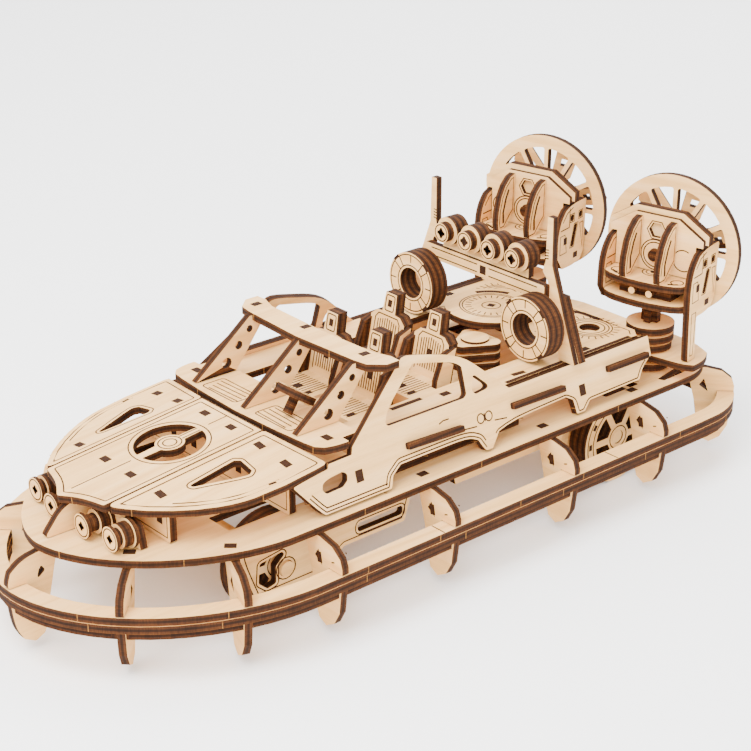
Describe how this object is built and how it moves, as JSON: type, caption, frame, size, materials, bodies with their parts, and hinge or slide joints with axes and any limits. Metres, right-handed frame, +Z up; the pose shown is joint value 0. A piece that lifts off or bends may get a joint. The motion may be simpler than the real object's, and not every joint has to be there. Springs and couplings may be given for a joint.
{
  "type": "toy hovercraft",
  "caption": "Plywood model kit of an open hovercraft: oval skirt ring on ribs, open cabin with seats, light arch and two turning fans at the stern.",
  "frame": {"origin": "on the ground under the middle of the model's bounding box", "axes": "+X to the bow, +Y to port, +Z up"},
  "size_m": [0.3384, 0.1421, 0.1226],
  "materials": {
    "arch_crossbar": "laser-cut birch plywood",
    "arch_post_port": "laser-cut birch plywood",
    "arch_post_starboard": "laser-cut birch plywood",
    "body_side_port": "laser-cut birch plywood",
    "body_side_starboard": "laser-cut birch plywood",
    "bow_lamps": "laser-cut birch plywood",
    "cabin_floor": "laser-cut birch plywood",
    "dash_plate": "laser-cut birch plywood",
    "deck_plate": "laser-cut birch plywood",
    "fan_ring_port": "laser-cut birch plywood",
    "fan_ring_starboard": "laser-cut birch plywood",
    "fan_rotor_port": "laser-cut birch plywood",
    "fan_rotor_starboard": "laser-cut birch plywood",
    "front_axle": "laser-cut birch plywood",
    "front_wheel_port": "laser-cut birch plywood",
    "front_wheel_starboard": "laser-cut birch plywood",
    "hood_centre": "laser-cut birch plywood",
    "hood_frame_front": "laser-cut birch plywood",
    "hood_frame_rear": "laser-cut birch plywood",
    "hood_port": "laser-cut birch plywood",
    "hood_starboard": "laser-cut birch plywood",
    "hull_side_front_port": "laser-cut birch plywood",
    "hull_side_front_starboard": "laser-cut birch plywood",
    "hull_side_rear_port": "laser-cut birch plywood",
    "hull_side_rear_starboard": "laser-cut birch plywood",
    "lifebuoy_port": "laser-cut birch plywood",
    "lifebuoy_starboard": "laser-cut birch plywood",
    "nacelle_back_port": "laser-cut birch plywood",
    "nacelle_back_starboard": "laser-cut birch plywood",
    "nacelle_floor_port": "laser-cut birch plywood",
    "nacelle_floor_starboard": "laser-cut birch plywood",
    "nacelle_side_inner_port": "laser-cut birch plywood",
    "nacelle_side_inner_starboard": "laser-cut birch plywood",
    "nacelle_side_outer_port": "laser-cut birch plywood",
    "nacelle_side_outer_starboard": "laser-cut birch plywood",
    "pylon_base_port": "laser-cut birch plywood",
    "pylon_base_starboard": "laser-cut birch plywood",
    "rear_axle": "laser-cut birch plywood",
    "rear_cover": "laser-cut birch plywood",
    "rear_wheel_port": "laser-cut birch plywood",
    "rear_wheel_starboard": "laser-cut birch plywood",
    "searchlights": "laser-cut birch plywood",
    "seat_front_port": "laser-cut birch plywood",
    "seat_front_starboard": "laser-cut birch plywood",
    "seat_rear_port": "laser-cut birch plywood",
    "seat_rear_starboard": "laser-cut birch plywood",
    "skirt_frame_bow_port": "laser-cut birch plywood",
    "skirt_frame_bow_starboard": "laser-cut birch plywood",
    "skirt_frame_stern_port": "laser-cut birch plywood",
    "skirt_frame_stern_starboard": "laser-cut birch plywood",
    "skirt_ring_middle": "laser-cut birch plywood",
    "skirt_ring_upper": "laser-cut birch plywood",
    "steering_arm_port": "laser-cut birch plywood",
    "steering_arm_starboard": "laser-cut birch plywood",
    "steering_wheel": "laser-cut birch plywood",
    "stem_plate": "laser-cut birch plywood",
    "stem_rib": "laser-cut birch plywood",
    "upper_deck": "laser-cut birch plywood",
    "winch_stack": "laser-cut birch plywood",
    "windshield_frame": "laser-cut birch plywood"
  },
  "bodies": {
    "hull": {"arch_crossbar": "arch_crossbar", "arch_post_port": "arch_post_port", "arch_post_starboard": "arch_post_starboard", "body_side_port": "body_side_port", "body_side_starboard": "body_side_starboard", "bow_lamps": "bow_lamps", "cabin_floor": "cabin_floor", "dash_plate": "dash_plate", "deck_plate": "deck_plate", "hood_centre": "hood_centre", "hood_frame_front": "hood_frame_front", "hood_frame_rear": "hood_frame_rear", "hood_port": "hood_port", "hood_starboard": "hood_starboard", "hull_side_front_port": "hull_side_front_port", "hull_side_front_starboard": "hull_side_front_starboard", "hull_side_rear_port": "hull_side_rear_port", "hull_side_rear_starboard": "hull_side_rear_starboard", "lifebuoy_port": "lifebuoy_port", "lifebuoy_starboard": "lifebuoy_starboard", "pylon_base_port": "pylon_base_port", "pylon_base_starboard": "pylon_base_starboard", "rear_cover": "rear_cover", "searchlights": "searchlights", "seat_front_port": "seat_front_port", "seat_front_starboard": "seat_front_starboard", "seat_rear_port": "seat_rear_port", "seat_rear_starboard": "seat_rear_starboard", "skirt_frame_bow_port": "skirt_frame_bow_port", "skirt_frame_bow_starboard": "skirt_frame_bow_starboard", "skirt_frame_stern_port": "skirt_frame_stern_port", "skirt_frame_stern_starboard": "skirt_frame_stern_starboard", "skirt_ring_middle": "skirt_ring_middle", "skirt_ring_upper": "skirt_ring_upper", "steering_wheel": "steering_wheel", "stem_plate": "stem_plate", "stem_rib": "stem_rib", "upper_deck": "upper_deck", "winch_stack": "winch_stack", "windshield_frame": "windshield_frame"},
    "front_axle_set": {"front_axle": "front_axle", "front_wheel_port": "front_wheel_port", "front_wheel_starboard": "front_wheel_starboard"},
    "rear_axle_set": {"rear_axle": "rear_axle", "rear_wheel_port": "rear_wheel_port", "rear_wheel_starboard": "rear_wheel_starboard"},
    "nacelle_port": {"fan_ring_port": "fan_ring_port", "nacelle_back_port": "nacelle_back_port", "nacelle_floor_port": "nacelle_floor_port", "nacelle_side_inner_port": "nacelle_side_inner_port", "nacelle_side_outer_port": "nacelle_side_outer_port", "steering_arm_port": "steering_arm_port"},
    "nacelle_starboard": {"fan_ring_starboard": "fan_ring_starboard", "nacelle_back_starboard": "nacelle_back_starboard", "nacelle_floor_starboard": "nacelle_floor_starboard", "nacelle_side_inner_starboard": "nacelle_side_inner_starboard", "nacelle_side_outer_starboard": "nacelle_side_outer_starboard", "steering_arm_starboard": "steering_arm_starboard"},
    "fan_port": {"fan_rotor_port": "fan_rotor_port"},
    "fan_starboard": {"fan_rotor_starboard": "fan_rotor_starboard"}
  },
  "joints": [
    {"name": "front_wheels_roll", "type": "hinge", "parent": "hull", "child": "front_axle_set", "pos_m": [0.078, 0, 0.02], "axis": [0, 1, 0], "continuous": true},
    {"name": "rear_wheels_roll", "type": "hinge", "parent": "hull", "child": "rear_axle_set", "pos_m": [-0.096, 0, 0.02], "axis": [0, 1, 0], "continuous": true},
    {"name": "nacelle_turn_port", "type": "hinge", "parent": "hull", "child": "nacelle_port", "pos_m": [-0.124, 0.0375, 0.07], "axis": [0, 0, 1], "range_deg": [-37.9, 12.1]},
    {"name": "fan_spin_port", "type": "hinge", "parent": "nacelle_port", "child": "fan_port", "pos_m": [-0.14681, 0.03228, 0.0918], "axis": [0.9748, 0.2233, 0], "continuous": true},
    {"name": "nacelle_turn_starboard", "type": "hinge", "parent": "hull", "child": "nacelle_starboard", "pos_m": [-0.124, -0.0375, 0.07], "axis": [0, 0, 1], "range_deg": [-37.9, 12.1]},
    {"name": "fan_spin_starboard", "type": "hinge", "parent": "nacelle_starboard", "child": "fan_starboard", "pos_m": [-0.14681, -0.04272, 0.0918], "axis": [0.9748, 0.2233, 0], "continuous": true}
  ],
  "couplings": [
    {"joint": "nacelle_turn_starboard", "follows": "nacelle_turn_port", "ratio": 1}
  ]
}
